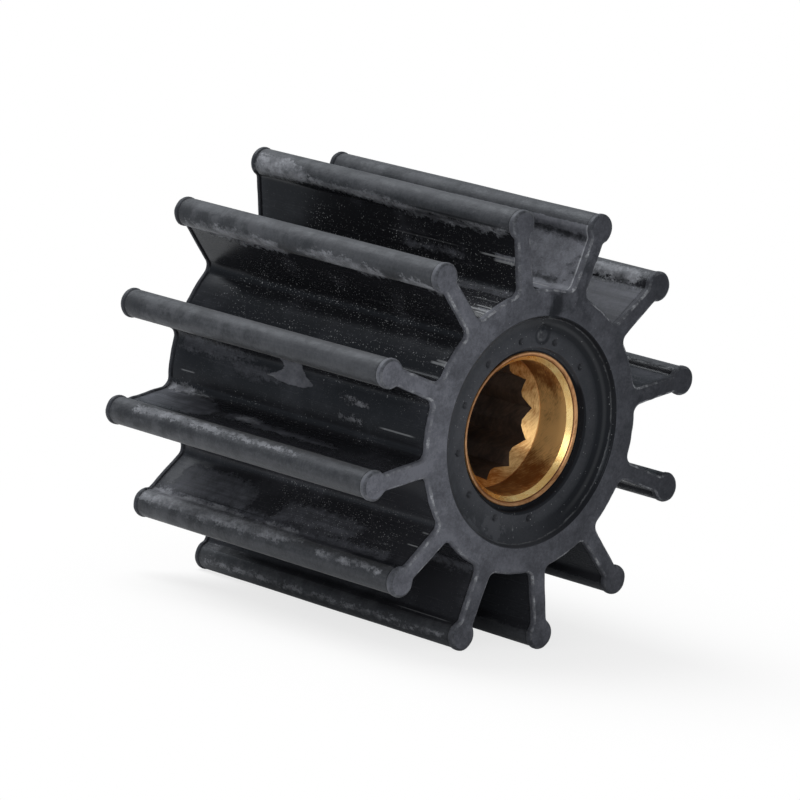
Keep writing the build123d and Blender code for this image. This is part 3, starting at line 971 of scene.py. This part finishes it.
def skinMaterial(name, sheen, shine):
    # Sides of vanes and hub: chalky beads, glossy black flanks with film, dust and streaks.
    # The beads have a copy of their own with a soft sheen on their powdery surface.
    # grain and noise take a place, a scale, a detail and a roughness, and grain a reach too.
    material, net, shader, here = newMaterial(name)
    look = rubberLook
    along, length, _ = net.split(net.add("UVMap", uv_map="skin").outputs[0])
    tipDistance = net.calc("PINGPONG", along, pitchLength / 2)
    endDistance = net.minus(wheel["halfLength"], net.calc("ABSOLUTE", length))
    spot = net.join(along, length)
    ragged = net.grain(net.stretch(spot, (1.3, 0.7, 1)), 1.0, 7.0, 0.75, 0.2)
    coarse = net.noise(net.stretch(spot, (0.55, 0.28, 1)), 1.0, 3.0, 0.6)
    fibre = net.grain(net.stretch(net.turned(spot, 38), (0.7, 4.5, 1)), 1.0, 3.0, 0.6, 0.18)
    mottle = net.grain(here, 620.0, 6.0, 0.72, 0.17)
    powder = net.grain(here, 2300.0, 4.0, 0.7, 0.2)
    broad = net.noise(here, 130.0, 4.0, 0.6)
    streaks = {"Along": along, "Length": length, "Pitch": 0.7, "Run": 14.0}
    streak = net.group(groups["streak"], streaks)["Value"]
    chalk = chalkOn(net, here, 420.0, 3000.0)

    # Masks
    edgeShake = net.plus(net.times(ragged, 0.6), net.plus(net.times(fibre, 0.12), net.times(powder, 0.28)))
    bloom = markMask(net, "bloom", edgeShake, 1.9, 0.3)
    film = markMask(net, "film", edgeShake, 1.7, 0.45)
    patch = markMask(net, "patch", ragged, 0.22, 0.07)
    shade = markMask(net, "shade", edgeShake, 0.8, 0.45)
    dark = markMask(net, "dark", ragged, 0.7, 0.35)
    dusted = markMask(net, "dusty", edgeShake, 2.5, 1.2)
    bead = net.fade(net.shake(tipDistance, edgeShake, 0.9), 3.8, 3.3)
    land = net.fade(endDistance, wheel["landLength"] + 0.05, wheel["landLength"] - 0.12)
    step = net.times(net.fade(endDistance, 0.72, 0.84), net.fade(endDistance, 1.2, 0.95))
    step = net.times(step, net.fade(length, 10.0, 0.0))
    # Painted shade: the rounded rear ends darken towards black.
    rearEndShade = net.shake(length, edgeShake, 1.2)
    rearEndShade = net.fade(rearEndShade, wheel["halfLength"] - 1.7, wheel["halfLength"] - 0.5, 0.0, 0.8)
    rim = net.fade(net.shake(endDistance, ragged, 0.3), 0.24, 0.08)
    drawn = net.times(length, markEnd / wheel["halfLength"])
    lines = {"pale": 0.0, "black": 0.0}
    for label in lines:
        for index, away, start, end, halfWidth, strength in skinLines[label]:
            mark = net.group(groups["line"], {
                "Along": along, "Length": drawn, "Place": (index + 1) * pitchLength + away,
                "Middle": (start + end) / 2, "Half Length": abs(start - end) / 2, "Half Width": halfWidth,
                "Strength": strength,
            })
            lines[label] = net.most(lines[label], mark["Mask"])

    # Dust lies on some flanks and valleys.
    dusty = dustOn(net, here, 2100.0, 0.5, 0.24)
    dustyFine = dustOn(net, here, 4200.0, 0.7, 0.34)
    dustField = net.times(net.fade(broad, 0.36, 0.56, 0.35, 1.0), net.mixed(dusted, 0.12, 1.0))
    dust = net.times(net.most(dusty, net.times(dustyFine, 0.85)), dustField, net.spread(bead, 1.0, 0.3))

    # Shades of each finish
    hazeAndUnderLight = net.fade(net.plus(net.times(broad, 0.78), net.times(streak, 0.22)), 0.5, 0.7, 0.0, 0.22)
    # Painted light: flanks low on the wheel, which face the floor, are painted paler as if lit from below.
    hazeAndUnderLight = net.plus(hazeAndUnderLight, net.fade(net.split(here)[2], 2.0 * mm, -14.0 * mm, 0.0, 0.14))
    filmShade = net.times(net.spread(mottle, 0.5, 1.0), net.fade(streak, 0.35, 0.62, 0.5, 1.0))
    patchy = net.times(net.fade(broad, 0.4, 0.6, 0.3, 1.0), net.fade(length, -12.0, 14.0, 0.45, 1.0))
    blotch = net.steep(net.noise(here, 260.0, 5.0, 0.68), 0.14, -0.5, 0.5)
    beadShade = net.plus(
        net.times(net.minus(mottle, 0.5), net.times(patchy, 0.9)), 0.5,
        net.times(blotch, net.fade(length, -8.0, 16.0, 0.3, 1.1)),
        net.steep(powder, 0.5, -0.14, 0.14),
        net.steep(streak, 0.2, -0.2, 0.2),
    )
    beadColour = net.blend(beadShade, look["chalkDark"], look["chalk"])
    bloomShade = net.times(net.spread(mottle, 0.55, 1.0), net.spread(powder, 0.65, 1.0))
    bloomShade = net.times(bloomShade, net.fade(coarse, 0.36, 0.56, 0.35, 1.0))
    patchShade = net.times(net.spread(mottle, 0.7, 1.0), net.spread(powder, 0.8, 1.0))
    patchShade = net.times(patchShade, net.fade(coarse, 0.36, 0.6, 0.8, 1.0))
    # Painted shade: the land is painted darker on the beads than on the flanks.
    landShare = net.times(faceShare(net, here), net.mixed(bead, 0.95, 0.66))
    landShare = net.times(landShare, net.spread(ragged, 0.7, 1.2))
    faceColour = net.blend(landShare, look["black"], look["face"])
    # Painted shade in the groove behind the front land.
    stepShade = net.times(step, net.minus(1.0, patch), net.fade(ragged, 0.2, 0.8, 0.75, 0.3))
    # Painted shade: a darker ring at the ends of the beads.
    beadEndShade = net.times(net.fade(endDistance, 0.34, 0.14), bead, net.fade(ragged, 0.2, 0.8, 0.6, 0.2))
    rimShade = net.times(
        net.fade(coarse, 0.42, 0.66, 0.08, 0.9), net.fade(powder, 0.2, 0.8, 0.3, 1.0),
        net.fade(length, 5.0, -5.0, 0.3, 1.0), net.fade(tipDistance, 3.5, 6.0, 0.3, 1.0),
    )
    colour = net.paint(
        look["black"],
        (hazeAndUnderLight, look["film"]),
        (net.times(film, filmShade), look["film"]),
        (bead, beadColour),
        (net.times(bloom, bloomShade), look["bloom"]),
        (net.times(shade, net.spread(mottle, 0.65, 0.3)), look["black"]),
        (net.times(patch, patchShade), look["patch"]),
        (net.times(dark, net.spread(mottle, 0.95, 0.75)), look["black"]),
        (lines["black"], look["black"]),
        (lines["pale"], look["scratchAndHighlight"]),
        (net.times(land, 0.85), faceColour),
        (stepShade, look["black"]),
        (net.times(step, patch, net.spread(ragged, 0.3, 0.9)), look["edgeLine"]),
        (beadEndShade, look["chalkDark"]),
        (rearEndShade, look["black"]),
        (net.times(rim, rimShade), look["edgeLine"]),
        (dust, look["dust"]),
    )

    # Shine and relief
    dull = net.most(bead, bloom, patch, land, net.times(film, 0.8), dark, net.times(shade, 0.8))
    rough = net.mixed(dull, net.fade(streak, 0.3, 0.7, 0.24, 0.28), net.spread(mottle, 0.5, 0.66))
    rough = net.plus(rough, net.times(dust, 0.3))
    height = net.plus(
        net.times(net.plus(chalk["Height"], net.times(mottle, 0.6)), net.mixed(dull, 0.08, 1.0)),
        net.times(streak, net.mixed(dull, 0.03, 0.5)),
        net.times(dust, 0.6),
        net.times(bloom, fibre, 0.8),
    )
    dress(net, shader, colour, rough, height, 0.5, 0.06)
    setPlain(shader, {"Specular IOR Level": shine, "Specular Tint": look["shineTint"]})
    setPlain(shader, {"Sheen Weight": sheen, "Sheen Roughness": look["sheenRough"]})
    return material


def faceMaterial():
    # End faces: dull blue-grey with a fine speckle and cloudy stains.
    material, net, shader, here = newMaterial("rubberFace")
    look = rubberLook
    chalk = chalkOn(net, here, 330.0, 3400.0)
    cloudy = net.noise(here, 170.0, 4.0, 0.6)
    ragged = net.grain(here, 600.0, 6.0, 0.72, 0.2)
    powder = net.grain(here, 2300.0, 4.0, 0.7, 0.2)
    share = net.times(
        faceShare(net, here), net.steep(cloudy, 0.2, 0.78, 1.18),
        net.fade(chalk["Shade"], 0.7, 1.3, 0.8, 1.2),
        net.times(net.spread(ragged, 0.84, 1.14), net.spread(powder, 0.86, 1.14)),
    )
    share = net.plus(share, net.times(markMask(net, "film", ragged, 4.0, 1.2), 0.1))
    share = net.plus(share, net.times(markMask(net, "bloom", ragged, 2.5, 0.5), 0.22))
    # Shade marks are stains and painted shade in the gate channel; dark marks are painted shade in the
    # channel.
    share = net.times(share, net.mixed(markMask(net, "shade", ragged, 3.0, 0.9), 1.0, 0.62))
    share = net.times(share, net.mixed(markMask(net, "dark", ragged, 0.4, 0.3), 1.0, 0.2))
    dust = dustOn(net, here, 1900.0, 0.05, 0.25)
    colour = net.paint(look["black"], (share, look["face"]), (net.times(dust, 0.4), look["dust"]))
    dress(net, shader, colour, net.fade(cloudy, 0.3, 0.7, 0.55, 0.68), chalk["Height"], 0.5, 0.05)
    setPlain(shader, {"Specular IOR Level": look["shine"], "Specular Tint": look["shineTint"]})
    return material


def dishMaterial():
    # Dish: darker, smoother rubber with pale specks, a pale line round its wall and scratches.
    # Painted shade darkens its right wall and the gap round the insert, and a painted highlight streaks the
    # right wall.
    material, net, shader, here = newMaterial("rubberDish")
    look = rubberLook
    x, y, z = net.split(here)
    flat = net.join(x, 0.0, z)
    reach = net.add("VectorMath", {0: flat}, operation="LENGTH").outputs["Value"]
    gate = math.radians(dish["gateAngle"])
    scar = (dish["gateCircle"] * math.cos(gate) * mm, 0, dish["gateCircle"] * math.sin(gate) * mm)
    fromScar = net.add("VectorMath", {0: flat, 1: scar}, operation="DISTANCE").outputs["Value"]
    onFront = net.calc("LESS_THAN", y, 0.0)
    chalk = chalkOn(net, here, 260.0, 3200.0)
    ragged = net.grain(here, 900.0, 5.0, 0.7, 0.2)
    toRight = net.plus(x, net.times(z, 0.35))
    # Painted shade: the wall on the right and upper right is painted nearly black.
    paintedWallShade = net.fade(toRight, -2.0 * mm, 7.0 * mm, 0.15, 1.0)
    paintedWallShade = net.times(net.fade(reach, 12.1 * mm, 12.9 * mm), paintedWallShade)
    share = net.times(
        net.fade(x, -14.0 * mm, 12.0 * mm, 1.0, 0.55, soft=False),
        net.fade(chalk["Shade"], 0.7, 1.3, 0.75, 1.25),
        net.mixed(paintedWallShade, 1.0, 0.05),
        net.fade(reach, 11.4 * mm, 12.8 * mm, 1.0, 0.72),
    )
    share = net.plus(share, net.times(markMask(net, "bloom", ragged, 1.6, 0.5), 0.8))
    scarRing = net.fade(net.calc("ABSOLUTE", net.minus(fromScar, 1.12 * mm)), 0.3 * mm, 0.1 * mm)
    scarRing = net.times(scarRing, onFront, net.spread(ragged, 1.0, 0.5))
    # Painted shade: the gap round the insert is black, in a crescent that widens to the lower right as
    # painted shadow of the insert.
    wellShadowEdge = net.fade(net.minus(x, net.times(z, 0.9)), -6.0 * mm, 13.0 * mm, 9.9 * mm, 10.75 * mm)
    outsideWellShadow = net.fade(net.minus(reach, wellShadowEdge), 0.0, 0.14 * mm)
    share = net.times(share, net.mixed(scarRing, 1.0, 0.3), outsideWellShadow)
    swirl = net.times(net.fade(fromScar, 0.95 * mm, 0.6 * mm), net.fade(ragged, 0.45, 0.9), onFront)
    paleLineReach = net.shake(reach, ragged, 0.09 * mm)
    paleWallLine = net.times(net.fade(paleLineReach, 14.2 * mm, 14.26 * mm), net.fade(paleLineReach, 14.36 * mm, 14.3 * mm))
    # Painted highlight: a pale streak along the right side of the wall.
    paintedWallHighlight = net.times(net.fade(reach, 13.2 * mm, 13.55 * mm), net.fade(reach, 13.95 * mm, 13.6 * mm))
    colour = net.paint(
        look["black"],
        (share, look["dish"]),
        (net.times(swirl, 0.45), look["scratchAndHighlight"]),
        (net.times(paleWallLine, net.spread(ragged, 0.05, 0.35)), look["scratchAndHighlight"]),
        (net.times(paintedWallHighlight, net.fade(toRight, 3.0 * mm, 9.0 * mm, 0.0, 0.12)), look["scratchAndHighlight"]),
        (net.times(markMask(net, "patch", ragged, 0.25, 0.08), 0.8), look["scratchAndHighlight"]),
        (net.times(dustOn(net, here, 2700.0, 0.22, 0.27), 0.42), look["dust"]),
    )
    rough = net.mixed(paintedWallShade, net.spread(ragged, 0.4, 0.55), 0.22)
    dress(net, shader, colour, rough, chalk["Height"], 0.4, 0.05)
    setPlain(shader, {"Specular IOR Level": look["shine"], "Specular Tint": look["shineTint"]})
    return material


# Finish of each part of the insert: dark and light colour, roughness, share of bare metal,
# pitch of the tool marks in mm, painted light at the mouth, painted light at middle height.
brassLook = {
    "cut": ((0.82, 0.45, 0.14, 1), (1.0, 0.72, 0.31, 1), 0.26, 0.95, 0.3, 0.0, 0.02),
    "wall": ((0.29, 0.1, 0.022, 1), (0.94, 0.57, 0.22, 1), 0.42, 0.6, 0.18, 0.06, 0.1),
    # painted shade: the bore is brass painted dark for the shade deep in the hole
    "bore": ((0.04, 0.025, 0.018, 1), (0.12, 0.075, 0.05, 1), 0.5, 0.3, 0.5, 0.0, 0.0),
    "lip": ((0.3, 0.12, 0.04, 1), (0.66, 0.35, 0.16, 1), 0.36, 0.8, 0.5, 0.0, 0.0),
    "cone": ((0.29, 0.12, 0.03, 1), (0.72, 0.46, 0.19, 1), 0.34, 0.8, 0.35, 0.0, 0.03),
    # painted shade: a dark band in the bend between lip and bevel
    "shoulderShade": ((0.1, 0.03, 0.008, 1), (0.24, 0.09, 0.025, 1), 0.5, 0.5, 0.5, 0.0, 0.0),
}


def brassMaterial(part):
    # Turned brass: fine slanting tool marks and cloudy tarnish.
    darkBrass, lightBrass, roughness, metal, pitch, paintedMouthLight, paintedMiddleLight = brassLook[part]
    material, net, shader, here = newMaterial("brass" + part.capitalize())
    slanted = net.turned(net.add("UVMap", uv_map="skin").outputs[0], 35)
    marks = net.noise(net.stretch(slanted, (0.9, 1 / pitch, 1)), 1.0, 4.0, 0.65)
    cloud = net.noise(here, 420.0, 5.0, 0.65)
    broad = net.noise(here, 110.0, 3.0, 0.5)
    _, y, z = net.split(here)
    mouth = (insert["setBack"] - wheel["halfLength"]) * mm
    # Painted light: the wall is brighter near the mouth and at middle height, darker deeper in and at top and
    # bottom.
    share = net.plus(
        net.times(marks, 0.34), net.plus(net.times(cloud, 0.36), net.times(broad, 0.3)),
        net.fade(y, mouth + 2.4 * mm, mouth + 0.9 * mm, 0.0, paintedMouthLight),
        net.fade(net.calc("ABSOLUTE", z), 6.5 * mm, 1.5 * mm, -paintedMiddleLight, paintedMiddleLight),
    )
    colour = net.blend(net.fade(share, 0.38, 0.62), darkBrass, lightBrass)
    rough = net.fade(cloud, 0.3, 0.7, roughness * 0.8, roughness * 1.25)
    dress(net, shader, colour, rough, net.plus(net.times(marks, 0.6), net.times(cloud, 0.4)), 0.4, 0.03)
    setPlain(shader, {"Metallic": metal})
    return material


rubber = makeWheel([
    skinMaterial("rubberSkin", 0.0, rubberLook["shine"]),
    faceMaterial(),
    dishMaterial(),
    skinMaterial("rubberBead", rubberLook["sheen"], rubberLook["beadShine"]),
])
addMarks(rubber.data)
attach(rubber, "root")
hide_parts("rubber_impeller")
brass = makeInsert([brassMaterial(part) for part in brassLook])
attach(brass, "root")
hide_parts("brass_insert")
print("pieces")

stage = {
    "floorSize": 6.0,
    "floorColour": (0.9, 0.9, 0.9, 1),
    "shadowNear": 0.0225,
    "shadowReach": 0.09,
    "shadowFade": 0.75,
    "mirrorNear": 0.03,
    "mirrorReach": 0.22,
    "mirrorLevel": 0.12,
    "worldLevel": 0.3,
    "shineLevel": 0.5,
    "floorShine": 0.8,
    "white": (1, 1, 1, 1),
    "coolShine": (0.8, 0.9, 1.0, 1),
    "lamps": [
        {"name": "topLamp", "place": (-0.10, 0.23, 0.42), "size": 0.40, "power": 2.5},
        {"name": "leftLamp", "place": (-0.30, -0.25, 0.10), "size": 0.25, "power": 0.4},
    ],
}


def makeFloor():
    size = stage["floorSize"]
    mesh = bpy.data.meshes.new("floor")
    low = cadBox[0][2]
    corners = [(-size, -size, low), (size, -size, low), (size, size, low), (-size, size, low)]
    mesh.from_pydata(corners, [], [(0, 1, 2, 3)])
    material, net, shader, place = newMaterial("paleFloor")
    setPlain(shader, {"Base Color": stage["floorColour"], "Roughness": 0.9, "Specular IOR Level": 0.0})
    distance = net.add("VectorMath", {0: place}, operation="LENGTH").outputs["Value"]
    far = net.fade(distance, stage["shadowNear"], stage["shadowReach"], stage["shadowFade"], 1.0)
    path = net.add("LightPath").outputs
    seen = net.most(path["Is Camera Ray"], path["Is Transmission Ray"])
    mirrored = net.fade(distance, stage["mirrorNear"], stage["mirrorReach"], stage["mirrorLevel"], 1.0)
    far = net.mixed(path["Is Glossy Ray"], net.times(far, seen), mirrored)
    level = net.mixed(path["Is Glossy Ray"], 1.0, stage["floorShine"])
    tone = net.blend(path["Is Glossy Ray"], stage["white"], stage["coolShine"])
    white = net.add("Emission", {"Color": tone, "Strength": level})
    both = net.add("MixShader", {0: far, 1: shader.outputs[0], 2: white.outputs[0]})
    output = next(one for one in net.tree.nodes if one.type == "OUTPUT_MATERIAL")
    net.feed(output.inputs["Surface"], both.outputs[0])
    mesh.materials.append(material)
    floor = bpy.data.objects.new("floor", mesh)
    bpy.context.scene.collection.objects.link(floor)


def makeWorld():
    world = bpy.data.worlds.new("studio")
    world.use_nodes = True
    bpy.context.scene.world = world
    net = Wiring(world.node_tree)
    background = world.node_tree.nodes["Background"]
    path = net.add("LightPath").outputs
    seen = net.most(path["Is Camera Ray"], path["Is Transmission Ray"])
    soft = net.mixed(path["Is Glossy Ray"], stage["worldLevel"], stage["shineLevel"])
    tone = net.blend(path["Is Glossy Ray"], stage["white"], stage["coolShine"])
    net.feed(background.inputs["Color"], tone)
    net.feed(background.inputs["Strength"], net.mixed(seen, soft, 1.0))


def makeLamps():
    for spec in stage["lamps"]:
        data = bpy.data.lights.new(spec["name"], "AREA")
        data.shape = "DISK"
        data.size = spec["size"]
        data.energy = spec["power"]
        lamp = bpy.data.objects.new(spec["name"], data)
        lamp.location = spec["place"]
        lamp.rotation_euler = (-Vector(spec["place"])).to_track_quat("-Z", "Y").to_euler()
        bpy.context.scene.collection.objects.link(lamp)


view = {
    "azimuth": -44.82,
    "elevation": 7.39,
    "roll": 8.35,
    "aim": (-0.00044, -0.00072, -0.00052),
    "distance": 0.7323,
    "lens": 260.64,
}


def makeCamera():
    azimuth, elevation = math.radians(view["azimuth"]), math.radians(view["elevation"])
    flat = math.cos(elevation)
    back = Vector((math.sin(azimuth) * flat, -math.cos(azimuth) * flat, math.sin(elevation)))
    data = bpy.data.cameras.new("photoCamera")
    data.lens = view["lens"]
    data.sensor_width = 36
    data.clip_start = 0.05
    data.clip_end = 20
    camera = bpy.data.objects.new("photoCamera", data)
    camera.location = Vector(view["aim"]) + back * view["distance"]
    camera.rotation_mode = "QUATERNION"
    roll = Quaternion((0, 0, 1), math.radians(view["roll"]))
    camera.rotation_quaternion = (-back).to_track_quat("-Z", "Y") @ roll
    bpy.context.scene.collection.objects.link(camera)
    bpy.context.scene.camera = camera


makeFloor()
makeWorld()
makeLamps()
makeCamera()
bpy.context.scene.view_settings.view_transform = "Standard"
print("stage")
